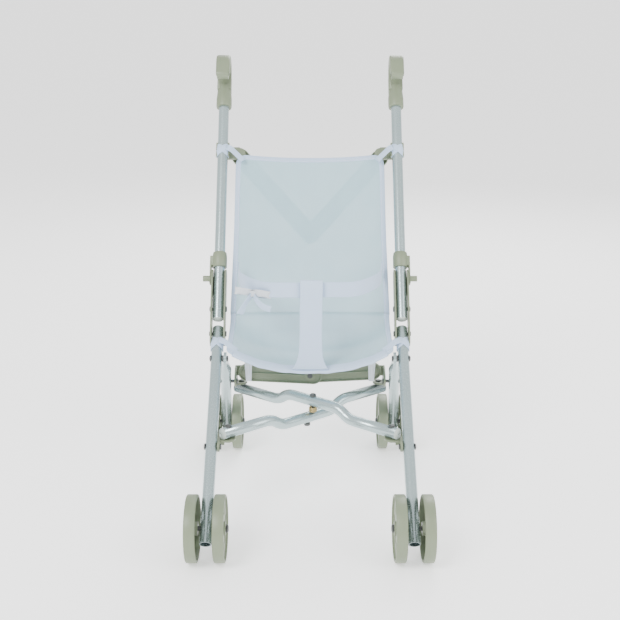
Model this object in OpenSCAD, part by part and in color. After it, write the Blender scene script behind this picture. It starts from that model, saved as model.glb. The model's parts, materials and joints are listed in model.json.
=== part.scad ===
// Doll stroller: a folding umbrella-type frame of metal tubes with a fabric sling seat.
// Origin: on the floor, midway between the front wheels and below their axles.
// +Z is up, -Y is the way the stroller rolls, X runs across it.

/* [Frame] */
// Distance between the centre lines of the two side frames
track_w = 220; // [200:5:240]
// Outer diameter of every tube
tube_d = 13; // [12:0.5:14]
// Wall of every tube
tube_wall = 1; // [0.8:0.1:1.2]
// Distance between the front and the rear axle
wheelbase = 290; // [280:2:300]
// Slope of the front legs from the floor
leg_slope = 38; // [37:0.5:39]
// Length of a front leg above its axle
leg_len = 256; // [252:1:258]
// Slope of the handle tubes from the floor
handle_slope = 55; // [53:0.5:57]
// Length of a handle tube
handle_len = 332; // [320:2:340]

/* [Wheels] */
// Diameter of each wheel
wheel_d = 72; // [64:1:76]
// Width of each wheel
wheel_w = 12; // [11:0.5:12]
// Diameter of the axles
axle_d = 5; // [4:0.5:6]
// Windows in each wheel
wheel_windows = 6; // [5:1:8]

/* [Cross tubes] */
// Half the height between the cross tubes where they pass
cross_rise = 10.5; // [10:0.5:12]
// Height of the cross tube pins' centre above the floor
cross_z = 106; // [104:1:108]

/* [Grips] */
// Width of a grip
grip_w = 17.5; // [16:0.5:18]
// Radius of the hook's centre line
hook_r = 14; // [13:0.5:15]

/* [Folding braces] */
// Width of a brace arm
arm_w = 22; // [18:1:23]
// Thickness of a brace arm
arm_t = 3.8; // [3:0.2:4]

/* [Seat] */
// Width of the seat panel
seat_w = 184; // [176:2:184]

/* [Hidden] */
$fn = 48;

// Colours
silver = [0.72, 0.76, 0.76];
sage = [0.68, 0.72, 0.65];
steel = [0.55, 0.56, 0.55];
plug_grey = [0.80, 0.83, 0.82];
brass = [0.72, 0.66, 0.50];
pale_blue = [0.74, 0.83, 0.88];
lavender = [0.80, 0.85, 0.93];

// Frame sizes that follow from the driving ones
side_x = track_w / 2;
tube_r = tube_d / 2;
wheel_r = wheel_d / 2;
running = 0.08;          // radial clearance of a part that turns or slides on another
free_gap = 0.5;          // gap between parts that only pass each other

// The handle tube's lower end and the hinge that it folds about
handle_foot = [202, 205.5];
hinge_up = 12;
// The rear leg's pivot, as a distance up the front leg
pivot_up = 213;
rear_top_x = 99.5;
rear_leg_y = pivot_up * cos(leg_slope);
rear_leg_z = wheel_r + pivot_up * sin(leg_slope);

// Wheel places: the inner and outer wheel of a pair stand beside the leg
wheel_gap = 2.3;
wheel_off = tube_r + wheel_gap + wheel_w / 2;

// Cross tubes: pins on the front and rear brackets
front_pin = [92, 93];
rear_pin = [85, 229];
cross_run = [front_pin[0] + rear_pin[0], rear_pin[1] - front_pin[1]];
cross_len = norm(cross_run);
cross_turn = atan2(cross_run[1], cross_run[0]);

// Folding braces
lower_pivot = [77, 133];
lower_drop = 4;
lower_y = 220;
upper_up = 223;
upper_pivot_x = 89;
upper_arm_slope = 50;
upper_back = 21;
rivet_r = 2;

// Bolts across the frame that parts turn on
front_bolt_up = 97;
rear_bolt = [207, 124];
front_plate_in = 3;      // from the leg's inner side to the front bracket's inner face

// Places the children on one side: s is -1 for the left, as seen from the front, and 1 for the right
module on_side(s) {
    if (s > 0) children();
    else mirror([1, 0, 0]) children();
}

// The children's +Z runs up the front leg from its axle, and their +Y is its underside
module along_leg() {
    translate([side_x, 0, wheel_r]) rotate([leg_slope - 90, 0, 0]) children();
}

// The children's +Z runs up the handle tube from its lower end, and their +Y is its back
module along_handle() {
    translate([side_x, handle_foot[0], handle_foot[1]])
        rotate([handle_slope - 90, 0, 0]) children();
}

// The children's +Z runs down the rear leg from its pivot on the front leg
rear_run = [side_x - rear_top_x, wheelbase - rear_leg_y, wheel_r - rear_leg_z];
rear_len = norm(rear_run);
rear_tilt = acos(rear_run[2] / rear_len);
rear_pan = atan2(rear_run[0], rear_run[1]);
flat_t = 3.2;
spread = 27;
module along_rear_leg() {
    translate([rear_top_x, rear_leg_y, rear_leg_z])
        rotate([0, 0, -rear_pan]) rotate([-rear_tilt, 0, 0]) children();
}

// An outline in Y and Z, extruded across X from x0 to x1
module across(x0, x1) {
    translate([x0, 0, 0]) rotate([90, 0, 90]) linear_extrude(x1 - x0) children();
}

module tube(length, r = tube_r) {
    difference() {
        cylinder(h = length, r = r);
        translate([0, 0, -1]) cylinder(h = length + 2, r = r - tube_wall);
    }
}

// A rod across X, centred on the origin
module cross_rod(r, length) {
    rotate([0, 90, 0]) cylinder(h = length, r = r, center = true);
}

// ---- Side frames ----

module front_leg() {
    color(silver) along_leg() difference() {
        translate([0, 0, -18]) tube(leg_len + 18);
        cross_rod(axle_d / 2 + 0.05, track_w / 4);
        translate([0, 0, pivot_up]) cross_rod(rivet_r + 0.05, track_w / 4);
        translate([0, 0, front_bolt_up]) cross_rod(rivet_r + 0.05, track_w / 4);
        translate([0, 0, leg_len - 8]) cross_rod(rivet_r + 0.05, track_w / 4);
    }
}

// Outline of a side plate of the fold channel, in Y and Z about the hinge
channel_r = 9;
hinge_y = handle_foot[0] + hinge_up * cos(handle_slope);
hinge_z = handle_foot[1] + hinge_up * sin(handle_slope);
module plate_outline() {
    hull() {
        translate([hinge_y, hinge_z]) circle(r = channel_r);
        translate([(leg_len - 16) * cos(leg_slope), wheel_r + (leg_len - 16) * sin(leg_slope)])
            circle(r = channel_r - 1);
    }
    hull() {
        translate([hinge_y, hinge_z]) circle(r = channel_r);
        translate([handle_foot[0] + 54 * cos(handle_slope), handle_foot[1] + 54 * sin(handle_slope)])
            circle(r = channel_r - 1);
    }
}

plate_in = tube_r + 0.6;
plate_t = 1.8;
module fold_channel() {
    color(sage) difference() {
        union() {
            for (x = [side_x - plate_in - plate_t, side_x + plate_in])
                across(x, x + plate_t) plate_outline();
            // The back wall ties the plates behind the handle tube
            along_handle() translate([-plate_in - 0.2, tube_r + 0.5, 32])
                cube([2 * plate_in + 0.4, 1.8, 24]);
        }
        along_handle() translate([0, 0, hinge_up]) cross_rod(rivet_r + 0.05, 40);
        along_leg() translate([0, 0, leg_len - 8]) cross_rod(rivet_r + 0.05, 40);
    }
}

// The rivets and bolts that stay with a side frame
module frame_rivets() {
    color(steel) {
        // Hinge rivet of the handle tube, and the rivet that holds the channel on the leg
        along_handle() translate([0, 0, hinge_up]) cross_bolt(plate_in + plate_t, plate_in + plate_t);
        along_leg() translate([0, 0, leg_len - 8]) cross_bolt(plate_in + plate_t, plate_in + plate_t);
        // Pivot bolt of the rear leg with its spacer, and the bolt of the front bracket
        along_leg() translate([0, 0, pivot_up]) {
            cross_bolt(side_x - rear_top_x + flat_t / 2 + 0.3, tube_r);
            translate([-tube_r - 0.2, 0, 0]) rotate([0, -90, 0])
                cylinder(h = side_x - rear_top_x - tube_r - flat_t / 2 - 1, r = 4);
        }
        along_leg() translate([0, 0, front_bolt_up]) cross_bolt(tube_r + front_plate_in + 0.3, tube_r);
    }
}

// A bolt across X through the origin: it reaches inner to -X, where it has a flat nut,
// and outer to +X, where it has a domed head
module cross_bolt(inner, outer) {
    rotate([0, 90, 0]) rotate_extrude()
        polygon([[0, -inner - 1.5], [3, -inner - 1.5], [3.4, -inner - 1.1], [3.4, -inner],
            [rivet_r, -inner], [rivet_r, outer], [3.8, outer], [3.6, outer + 0.9],
            [2.2, outer + 1.7], [0, outer + 1.9]]);
}

module axle(y) {
    half = wheel_off + wheel_w / 2 + 0.6;
    color(steel) translate([side_x, y, wheel_r]) rotate([0, 90, 0]) rotate_extrude()
        polygon([[0, -half - 2.4], [3, -half - 2.4], [4.6, -half - 1.4], [4.6, -half],
            [axle_d / 2, -half], [axle_d / 2, half], [4.6, half], [4.6, half + 1.4],
            [3, half + 2.4], [0, half + 2.4]]);
}

module rear_leg() {
    color(silver) difference() {
        union() {
            along_rear_leg() translate([0, 0, spread - 1]) tube(rear_len - spread + 1 + 12);
            // The flattened top, and the collar where it spreads into the round tube
            hull() {
                translate([rear_top_x, rear_leg_y, rear_leg_z]) cross_rod(7.5, flat_t, $fn = 32);
                along_rear_leg() translate([0, 0, 11]) cross_rod(7.2, flat_t, $fn = 32);
            }
            hull() {
                along_rear_leg() translate([0, 0, 11]) cross_rod(6.9, flat_t - 0.2, $fn = 32);
                along_rear_leg() translate([0, 0, spread]) cylinder(h = 4, r = tube_r + 0.3, $fn = 32);
            }
        }
        translate([rear_top_x, rear_leg_y, rear_leg_z]) cross_rod(rivet_r + running, 20);
        translate([rear_top_x, rear_bolt[0], rear_bolt[1]]) cross_rod(rivet_r + running, 40);
        translate([side_x, wheelbase, wheel_r]) cross_rod(axle_d / 2 + 0.05, 40);
    }
}

// ---- Handles ----

module handle_tube() {
    color(silver) along_handle() difference() {
        tube(handle_len);
        translate([0, 0, hinge_up]) cross_rod(rivet_r + running, 40);
    }
}

module handle_plug() {
    color(plug_grey) along_handle() rotate_extrude()
        polygon([[1.2, -2], [1.2, 6], [tube_r - tube_wall - 0.02, 6], [tube_r - tube_wall - 0.02, 0],
            [tube_r, 0], [tube_r, -1], [tube_r - 1.6, -2.4], [2, -3]]);
}

// A grip: a socket on the tube that turns forwards into a hook
socket_up = 283;
arch_up = 328;
module grip() {
    hook_t = 12;
    color(sage) along_handle() difference() {
        union() {
            translate([0, 0, socket_up]) rotate_extrude()
                polygon([[0, 0], [9.4, 0], [9.8, 1.5], [9.8, 12], [8.9, 22], [8.75, 30],
                    [0, 30]]);
            translate([-grip_w / 2, -hook_t / 2 - 1, socket_up + 24])
                cube([grip_w, hook_t + 2, arch_up - socket_up - 24]);
            // The arch
            translate([0, -hook_r, arch_up]) rotate([90, 0, 90]) rotate_extrude(angle = 180)
                translate([hook_r, 0]) rounded_bar(hook_t, grip_w);
            // The tip
            translate([0, -2 * hook_r, arch_up - 13]) rotate([0, 0, 90])
                linear_extrude(13) rounded_bar(hook_t, grip_w);
            translate([0, -2 * hook_r, arch_up - 13]) cross_rod(hook_t / 2, grip_w - 3);
        }
        // Socket for the tube
        translate([0, 0, socket_up - 1]) cylinder(h = handle_len - socket_up + 1.1, r = tube_r + 0.02);
    }
}

module rounded_bar(a, b) {
    r = 2.5;
    hull() for (i = [-1, 1], j = [-1, 1])
        translate([i * (a / 2 - r), j * (b / 2 - r)]) circle(r = r, $fn = 24);
}

// A sleeve that slides on the handle tube, with a finger peg on an ear
ring_low = 65;
ring_h = 19;
module lock_ring() {
    color(sage) along_handle() difference() {
        union() {
            translate([0, 0, ring_low]) rotate_extrude()
                polygon([[0, 0], [8.6, 0], [9, 0.6], [9, ring_h - 5], [8.2, ring_h], [0, ring_h]]);
            // Ear outside the channel
            translate([9.6, -5, 44]) cube([1.8, 10, ring_low + 14 - 44]);
            translate([6, -5, ring_low + 2]) cube([4, 10, 12]);
            // Finger peg
            translate([10, 0, 51]) rotate([0, 90, 0]) cylinder(h = 9.5, r = 3.6);
        }
        translate([0, 0, ring_low - 1]) cylinder(h = ring_h + 2, r = tube_r + running);
    }
}

// ---- Upper folding brace, behind the back panel ----

module brace_bracket(layer) {
    inner = side_x - upper_pivot_x;
    front = tube_r + 1;
    arm_back = upper_back + layer * (arm_t + free_gap);
    boss = arm_back - arm_t - free_gap - front;
    color(sage) along_handle() difference() {
        union() {
            translate([0, 0, upper_up - 9]) cylinder(h = 18, r = tube_r + 2);
            translate([-inner, front, upper_up - 8]) cube([inner, 4, 16]);
            // Boss and pivot pin for the arm, with a cap behind it
            translate([-inner, front, upper_up]) rotate([-90, 0, 0]) cylinder(h = boss, r = 7);
            translate([-inner, front, upper_up]) rotate([-90, 0, 0])
                cylinder(h = arm_back + free_gap + 1 - front, r = 2.5);
            translate([-inner, arm_back + free_gap, upper_up]) rotate([-90, 0, 0]) cylinder(h = 1.6, r = 4.4);
        }
        translate([0, 0, upper_up - 10]) cylinder(h = 20, r = tube_r + 0.02);
        translate([-20, -40 - tube_r / 2, upper_up - 10]) cube([40, 40, 20]);
    }
}

// A ribbed brace arm in the XZ plane: its pivot at the origin, its centre hinge at x = length,
// where the front arm of a pair has the rivet's hole.
// Its flat back lies on y = 0 and its ribs point to -Y.
module brace_arm(length, pivot_r, over, centre_r) {
    rib_t = 1.6;
    difference() {
        rotate([90, 0, 0]) union() {
            linear_extrude(1.8) arm_outline(length, over);
            linear_extrude(arm_t) difference() {
                arm_outline(length, over);
                offset(delta = -rib_t) arm_outline(length, over);
            }
            linear_extrude(arm_t) {
                circle(r = 6.4);
                translate([length, 0]) circle(r = 6.4);
                translate([0, -rib_t / 2]) square([length, rib_t]);
            }
        }
        rotate([90, 0, 0]) translate([0, 0, -1]) cylinder(h = 20, r = pivot_r);
        if (centre_r > 0) rotate([90, 0, 0]) translate([length, 0, -1]) cylinder(h = 20, r = centre_r);
    }
}

module arm_outline(length, over) {
    translate([0, -arm_w / 2]) square([length + over - arm_w / 2, arm_w]);
    circle(r = arm_w / 2);
    translate([length + over - arm_w / 2, 0]) circle(r = arm_w / 2);
}

upper_arm_len = upper_pivot_x / cos(upper_arm_slope);
module upper_arm(layer) {
    color(sage) along_handle()
        translate([upper_pivot_x - side_x, upper_back + layer * (arm_t + free_gap), upper_up])
        rotate([0, 180 - upper_arm_slope, 0]) mirror([0, 0, 1])
        brace_arm(upper_arm_len, 2.5 + running, arm_w / 2, layer == 0 ? rivet_r + 0.02 : 0);
}

module upper_brace_rivet() {
    color(steel) translate([0, handle_foot[0], handle_foot[1]]) rotate([handle_slope - 90, 0, 0])
        translate([0, upper_back - arm_t - 1.2, upper_up - upper_arm_len * sin(upper_arm_slope)])
        rotate([-90, 0, 0]) cylinder(h = arm_t + 1.2, r = rivet_r);
}

// ---- Brackets and cross tubes ----

// Front bracket: a plate against the inner side of the leg, and a shelf for the cross tube
front_bolt = [front_bolt_up * cos(leg_slope), wheel_r + front_bolt_up * sin(leg_slope)];
shelf_t = 2.4;
front_shelf_z = cross_z - tube_r - free_gap - shelf_t;
module front_bracket() {
    plate_x = side_x - tube_r - 0.3;
    plate_low = side_x - tube_r - front_plate_in;
    reach = 8;
    color(sage) difference() {
        union() {
            across(plate_low, plate_x) hull() {
                translate(front_bolt) circle(r = 5.6);
                translate([front_pin[1] - reach, front_shelf_z]) square([2 * reach, shelf_t]);
            }
            translate([front_pin[0], front_pin[1] - reach, front_shelf_z])
                cube([plate_low - front_pin[0] + 1, 2 * reach, shelf_t]);
            translate([front_pin[0], front_pin[1], front_shelf_z]) cylinder(h = shelf_t, r = reach);
            // Gusset under the shelf
            translate([plate_low - 4, front_pin[1] - 1, front_shelf_z - 6]) cube([5, 2, 7]);
        }
        translate([front_pin[0], front_pin[1], front_shelf_z - 1]) cylinder(h = 5, r = rivet_r + 0.02);
        translate([plate_x, front_bolt[0], front_bolt[1]]) cross_rod(rivet_r + running, 20);
    }
}

// Pin of the front bracket: it stands on the shelf and the cross tube turns on it
module front_pin_part() {
    top = cross_z + tube_r + free_gap - front_shelf_z;
    color(steel) translate([front_pin[0], front_pin[1], front_shelf_z]) rotate_extrude()
        polygon([[0, -2.2], [3.2, -1.8], [3.2, 0], [rivet_r, 0], [rivet_r, top], [3.6, top],
            [3.6, top + 1.2], [2.2, top + 2], [0, top + 2]]);
}

// Rear bracket: a plate beside the rear leg, a shelf over the cross tube's end and the brace's pivot
rear_shelf_z = cross_z + tube_r + 0.8;
module rear_bracket() {
    plate = [90, 92.4];
    block_y = lower_y + free_gap;
    color(sage) difference() {
        union() {
            across(plate[0], plate[1]) hull() {
                translate(rear_bolt) circle(r = 6.5);
                translate([lower_y - 3, lower_pivot[1] - 4]) square([9, 9]);
                translate([rear_pin[1] - 8, rear_shelf_z]) square([14, shelf_t]);
            }
            translate([rear_pin[0], rear_pin[1] - 8, rear_shelf_z])
                cube([plate[0] - rear_pin[0] + 1, 14, shelf_t]);
            translate([rear_pin[0], rear_pin[1], rear_shelf_z]) cylinder(h = shelf_t, r = 7);
            translate([lower_pivot[0], block_y, lower_pivot[1] - 7])
                cube([plate[0] - lower_pivot[0] + 1, 3, 13]);
            translate([lower_pivot[0], block_y + 3, lower_pivot[1]]) rotate([90, 0, 0])
                cylinder(h = 3, r = 7);
            // Pivot pin of the lower brace arm, with a cap in front of it
            translate([lower_pivot[0], block_y + 1, lower_pivot[1]]) rotate([90, 0, 0])
                cylinder(h = 2 * arm_t + 3 * free_gap + 1.5, r = 2.5);
            translate([lower_pivot[0], block_y - 2 * arm_t - 3 * free_gap, lower_pivot[1]])
                rotate([90, 0, 0]) cylinder(h = 1.6, r = 4.4);
        }
        translate([rear_pin[0], rear_pin[1], rear_shelf_z - 1]) cylinder(h = 5, r = rivet_r + 0.02);
        translate([plate[0], rear_bolt[0], rear_bolt[1]]) cross_rod(rivet_r + 0.02, 20);
    }
}

// Pins of the rear bracket: one stops just above the cross tube, and the other is the bolt
// on which the bracket turns in the rear leg
module rear_pins() {
    color(steel) {
        translate([rear_pin[0], rear_pin[1], rear_shelf_z]) rotate_extrude()
            polygon([[0, -0.2], [rivet_r, -0.2], [rivet_r, shelf_t], [3.6, shelf_t],
                [3.6, shelf_t + 1.2], [2.2, shelf_t + 2], [0, shelf_t + 2]]);
        translate([side_x, rear_bolt[0], rear_bolt[1]]) cross_bolt(side_x - 90, 0.6);
    }
}

module lower_arm(layer) {
    tilt = asin(lower_drop / lower_pivot[0]);
    color(sage) translate([lower_pivot[0], lower_y - layer * (arm_t + free_gap), lower_pivot[1]])
        rotate([0, -tilt, 0]) mirror([1, 0, 0])
        brace_arm(lower_pivot[0] / cos(tilt), 2.5 + running, arm_w / 2 + 4, layer == 1 ? rivet_r + 0.02 : 0);
}

module lower_brace_rivet() {
    back = lower_y - arm_t - free_gap;
    color(steel) translate([0, back, lower_pivot[1] - lower_drop]) rotate([90, 0, 0]) rotate_extrude()
        polygon([[0, 0], [rivet_r, 0], [rivet_r, arm_t], [3.2, arm_t], [3.2, arm_t + 0.8], [0, arm_t + 1.4]]);
}

// Faces of a sweep that has rings of points, one after the other, and flat ends
function sweep_faces(rings, sides) = concat(
    [for (i = [0 : rings - 2], k = [0 : sides - 1])
        [i * sides + k, i * sides + (k + 1) % sides,
         (i + 1) * sides + (k + 1) % sides, (i + 1) * sides + k]],
    [[for (k = [sides - 1 : -1 : 0]) k], [for (k = [0 : sides - 1]) (rings - 1) * sides + k]]);

// A cross tube from its front pin: level ends, and a middle that is lifted by cross_rise.
// Its centre line is a list of X, Z and slope.
bend_r = 26;
bend_turn = acos(1 - cross_rise / (2 * bend_r));
bend_run = 2 * bend_r * sin(bend_turn);
bend_steps = 5;
middle_run = 58;
end_run = (cross_len - middle_run - 2 * bend_run) / 2;
tube_over = 7;
function bend_point(a) = [end_run + bend_r * sin(a), bend_r * (1 - cos(a)), a];
function back_point(a) = [end_run + bend_run - bend_r * sin(a), cross_rise - bend_r * (1 - cos(a)), a];
function half_line(over) = concat([[-over, 0, 0]],
    [for (i = [0 : bend_steps]) bend_point(bend_turn * i / bend_steps)],
    [for (i = [bend_steps - 1 : -1 : 0]) back_point(bend_turn * i / bend_steps)]);
function whole_line(half) = concat(half,
    [for (i = [len(half) - 1 : -1 : 0]) [cross_len - half[i][0], half[i][1], -half[i][2]]]);

module bent_rod(up, rod_r, over) {
    sides = 32;
    line = whole_line(half_line(over));
    points = [for (p = line, k = [0 : sides - 1]) let (b = 360 * k / sides)
        [p[0] - rod_r * sin(b) * sin(up * p[2]), -rod_r * cos(b), up * p[1] + rod_r * sin(b) * cos(p[2])]];
    polyhedron(points = points, faces = sweep_faces(len(line), sides));
}

module cross_tube(up) {
    color(silver) translate([front_pin[0], front_pin[1], cross_z]) rotate([0, 0, 180 - cross_turn])
        difference() {
            bent_rod(up, tube_r, tube_over);
            bent_rod(up, tube_r - tube_wall, tube_over + 1);
            translate([0, 0, -20]) cylinder(h = 40, r = rivet_r + running);
            translate([cross_len, 0, -20]) cylinder(h = 40, r = rivet_r + running);
            translate([cross_len / 2, 0, -30]) cylinder(h = 60, r = rivet_r + 0.02);
        }
}

module end_plug() {
    rotate([0, 90, 0]) rotate_extrude()
        polygon([[1.2, -5], [tube_r - tube_wall - 0.02, -5], [tube_r - tube_wall - 0.02, 0],
            [tube_r, 0], [tube_r, 1], [tube_r - 1.6, 2.4], [2, 3], [1.2, 2]]);
}

module tube_plugs() {
    color(plug_grey) translate([front_pin[0], front_pin[1], cross_z]) rotate([0, 0, 180 - cross_turn]) {
        translate([cross_len + tube_over, 0, 0]) end_plug();
        translate([-tube_over, 0, 0]) mirror([1, 0, 0]) end_plug();
    }
}

// The bolt, spring and nut where the cross tubes pass
centre_y = (front_pin[1] + rear_pin[1]) / 2;
centre_x = (front_pin[0] - rear_pin[0]) / 2;
pass_gap = 2 * cross_rise - tube_d;
module centre_bolt() {
    top = cross_z + cross_rise + tube_r;
    low = cross_z - cross_rise + tube_r + free_gap;
    color(steel) translate([centre_x, centre_y, low]) rotate_extrude()
        polygon([[0, 0], [rivet_r, 0], [rivet_r, top - low], [3.8, top - low],
            [3.8, top - low + 1.6], [2.4, top - low + 2.8], [0, top - low + 2.8]]);
}

module centre_spring() {
    wire = 0.55;
    turns = 4;
    coil_r = 4.4;
    low = cross_z - cross_rise + tube_r + free_gap + wire;
    rise = pass_gap - 2 * free_gap - 2 * wire;
    steps = 14 * turns;
    sides = 6;
    points = [for (i = [0 : steps], k = [0 : sides - 1])
        let (a = 360 * turns * i / steps, b = 360 * k / sides, r = coil_r + wire * cos(b))
        [r * cos(a), r * sin(a), rise * i / steps + wire * sin(b)]];
    color(brass) translate([centre_x, centre_y, low])
        polyhedron(points = points, faces = sweep_faces(steps + 1, sides));
}

module centre_nut() {
    low = cross_z - cross_rise - tube_r;
    color(steel) translate([centre_x, centre_y, low - 3.4]) union() {
        cylinder(h = 3.2, r = 3.8, $fn = 6);
        cylinder(h = 3.4 + tube_d - 2, r = rivet_r - 0.1);
    }
}

// ---- Wheels ----

// A moulded wheel about X. Its web lies near the outward face, +X, and the other side is hollow.
module wheel() {
    half = wheel_w / 2;
    rim = 3;
    web = [1.6, 3.8];
    hub_r = 7.5;
    color(sage) difference() {
        rotate([0, 90, 0]) rotate_extrude($fn = 96)
            polygon([
                [axle_d / 2 + running, -half], [hub_r, -half], [hub_r, web[0]],
                [wheel_r - rim, web[0]], [wheel_r - rim, -half], [wheel_r - 1.2, -half],
                [wheel_r - 0.35, -half + 0.35], [wheel_r, -half + 1.2], [wheel_r, half - 1.2],
                [wheel_r - 0.35, half - 0.35], [wheel_r - 1.2, half], [wheel_r - rim, half],
                [wheel_r - rim, web[1]], [hub_r, web[1]], [hub_r, half], [axle_d / 2 + running, half]
            ]);
        for (i = [0 : wheel_windows - 1])
            rotate([i * 360 / wheel_windows, 0, 0]) translate([web[0] + 1, wheel_r * 0.555, 0])
                cross_rod(6, 6);
    }
}

// Wheels 1 to 4 of an axle, from the left to the right
module wheel_at(index, y) {
    side = index < 3 ? -1 : 1;
    outward = (index == 1 || index == 4) ? 1 : -1;
    translate([side * (side_x + outward * wheel_off), y, wheel_r])
        rotate([0, 0, side * outward > 0 ? 0 : 180]) wheel();
}

// ---- Fabric ----

// Side outline of a panel: a line of points in Y and Z with a thickness to its upper side
module strip(points, t) {
    for (i = [0 : len(points) - 2]) hull() {
        translate(points[i]) circle(d = t, $fn = 16);
        translate(points[i + 1]) circle(d = t, $fn = 16);
    }
}

seat_front = [158, 167];
seat_crease = [223, 163];
seat_rise = [225, 197];
back_low = [224, 203];
back_top = [334, 384];
// The seat is one sheet on two side frames that can come together, so each panel is made as two
// halves that lap at the middle. side is 1 for the upper half and -1 for the lower one.
lap = 20;
half_t = 1.2;
half_step = (half_t + 0.4) / 2;
module seat_panel(side) {
    lift = side * half_step * [-1, 1];
    color(pale_blue) across(-lap, seat_w / 2)
        strip([seat_front + lift, seat_crease + lift, seat_rise + lift], half_t);
}

// A back panel half with the tape that ties its corner to the handle tube
module back_panel(side) {
    slope = atan2(back_top[1] - back_low[1], back_top[0] - back_low[0]);
    lift = side * half_step * [-sin(slope), cos(slope)];
    color(pale_blue) across(-lap, seat_w / 2 - 4) strip([back_low + lift, back_top + lift], half_t);
    color(lavender) along_handle() translate([0, 0, upper_up - 18]) difference() {
        cylinder(h = 6, r = tube_r + 1.4);
        translate([0, 0, -1]) cylinder(h = 8, r = tube_r + 0.1);
    }
}

module crotch_strap() {
    color(lavender) across(-13, 13) strip([[156, 171], [150, 200], [149, 270]], 1.4);
}

// Each waist strap runs forward from one side of the back and across to the middle,
// where the two lap behind the crotch strap
module waist_strap(side) {
    middle = 153 - 1.2 * side;
    route = [[side_x - 24, 232], [side_x - 26, 204], [52, 160], [lap + 4, middle], [-lap, middle]];
    color(lavender) translate([0, 0, 246]) linear_extrude(18) strip(route, 1.4);
}

// A tape from the underside of the seat to the rear bracket
module seat_tie() {
    color(lavender) across(70, 80) strip([[200, 161], [208, 124]], 1.2);
}

on_side(-1) front_leg();  // left_front_leg
on_side(1) front_leg();  // right_front_leg
on_side(-1) fold_channel();  // left_fold_channel
on_side(1) fold_channel();  // right_fold_channel
on_side(-1) frame_rivets();  // left_frame_rivets
on_side(1) frame_rivets();  // right_frame_rivets
on_side(-1) axle(0);  // left_front_axle
on_side(1) axle(0);  // right_front_axle
on_side(-1) rear_leg();  // left_rear_leg
on_side(1) rear_leg();  // right_rear_leg
on_side(-1) axle(wheelbase);  // left_rear_axle
on_side(1) axle(wheelbase);  // right_rear_axle
on_side(-1) handle_tube();  // left_handle_tube
on_side(1) handle_tube();  // right_handle_tube
on_side(-1) handle_plug();  // left_handle_plug
on_side(1) handle_plug();  // right_handle_plug
on_side(-1) grip();  // left_grip
on_side(1) grip();  // right_grip
on_side(-1) lock_ring();  // left_lock_ring
on_side(1) lock_ring();  // right_lock_ring
on_side(-1) brace_bracket(0);  // left_brace_bracket
on_side(1) brace_bracket(1);  // right_brace_bracket
on_side(-1) upper_arm(0);  // left_upper_arm
on_side(1) upper_arm(1);  // right_upper_arm
upper_brace_rivet();
on_side(-1) front_bracket();  // left_front_bracket
on_side(1) front_bracket();  // right_front_bracket
on_side(-1) front_pin_part();  // left_front_pin
on_side(1) front_pin_part();  // right_front_pin
on_side(-1) rear_bracket();  // left_rear_bracket
on_side(1) rear_bracket();  // right_rear_bracket
on_side(-1) rear_pins();  // left_rear_pins
on_side(1) rear_pins();  // right_rear_pins
on_side(-1) lower_arm(1);  // left_lower_arm
on_side(1) lower_arm(0);  // right_lower_arm
lower_brace_rivet();
on_side(1) cross_tube(1);  // cross_tube_upper
on_side(-1) cross_tube(-1);  // cross_tube_lower
on_side(1) tube_plugs();  // upper_tube_plugs
on_side(-1) tube_plugs();  // lower_tube_plugs
on_side(1) centre_bolt();
on_side(1) centre_spring();
on_side(-1) centre_nut();
for (i = [1 : 4]) {
    wheel_at(i, 0);
    wheel_at(i, wheelbase);
}
on_side(-1) seat_panel(1);  // seat_panel_left
on_side(1) seat_panel(-1);  // seat_panel_right
on_side(-1) back_panel(1);  // back_panel_left
on_side(1) back_panel(-1);  // back_panel_right
on_side(-1) waist_strap(1);  // waist_strap_left
on_side(1) waist_strap(-1);  // waist_strap_right
crotch_strap();
on_side(-1) seat_tie();  // left_seat_tie
on_side(1) seat_tie();  // right_seat_tie
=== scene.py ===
# %% [markdown]
# # A doll stroller, dressed over its working frame
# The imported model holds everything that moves: tubes, hinges, wheels and brackets. This script
# loads it as a fixed frame and adds what makes it look like the real toy: the woven sling and its
# tapes, the bent cross tubes, rounded plastic edges, and a finish for every surface.
# Everything is in metres, +Z is up and the stroller rolls towards -Y.

# %% Load the frame
import json
import math

import bmesh
import bpy
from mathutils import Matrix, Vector


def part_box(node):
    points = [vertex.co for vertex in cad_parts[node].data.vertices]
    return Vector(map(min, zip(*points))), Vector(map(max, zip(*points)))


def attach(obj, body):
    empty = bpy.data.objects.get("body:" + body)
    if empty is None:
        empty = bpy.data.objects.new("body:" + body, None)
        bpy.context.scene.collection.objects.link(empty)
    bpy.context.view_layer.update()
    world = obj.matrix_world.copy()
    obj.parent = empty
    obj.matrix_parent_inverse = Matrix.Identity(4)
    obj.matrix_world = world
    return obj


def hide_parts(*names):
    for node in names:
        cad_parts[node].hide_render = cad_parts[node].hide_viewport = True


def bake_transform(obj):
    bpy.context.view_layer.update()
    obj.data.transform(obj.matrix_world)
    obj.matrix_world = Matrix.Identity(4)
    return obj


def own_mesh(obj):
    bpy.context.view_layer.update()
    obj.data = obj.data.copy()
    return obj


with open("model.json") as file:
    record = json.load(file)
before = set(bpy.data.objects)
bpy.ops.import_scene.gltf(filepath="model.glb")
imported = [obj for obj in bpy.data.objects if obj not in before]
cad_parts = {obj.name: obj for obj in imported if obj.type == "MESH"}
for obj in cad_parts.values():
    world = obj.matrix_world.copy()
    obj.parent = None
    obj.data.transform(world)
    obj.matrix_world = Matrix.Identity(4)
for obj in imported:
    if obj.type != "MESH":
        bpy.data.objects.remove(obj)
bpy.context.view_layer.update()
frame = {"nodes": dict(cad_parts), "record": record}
nodes = frame["nodes"]

# %% [markdown]
# ## Where things are
# Sizes come from the frame wherever it can be asked. The handle tubes and the front legs lean, so
# two small functions turn "this far along the tube, this far behind it" into a point. That way a
# ribbon can be laid on a tube without any guessing.

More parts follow.
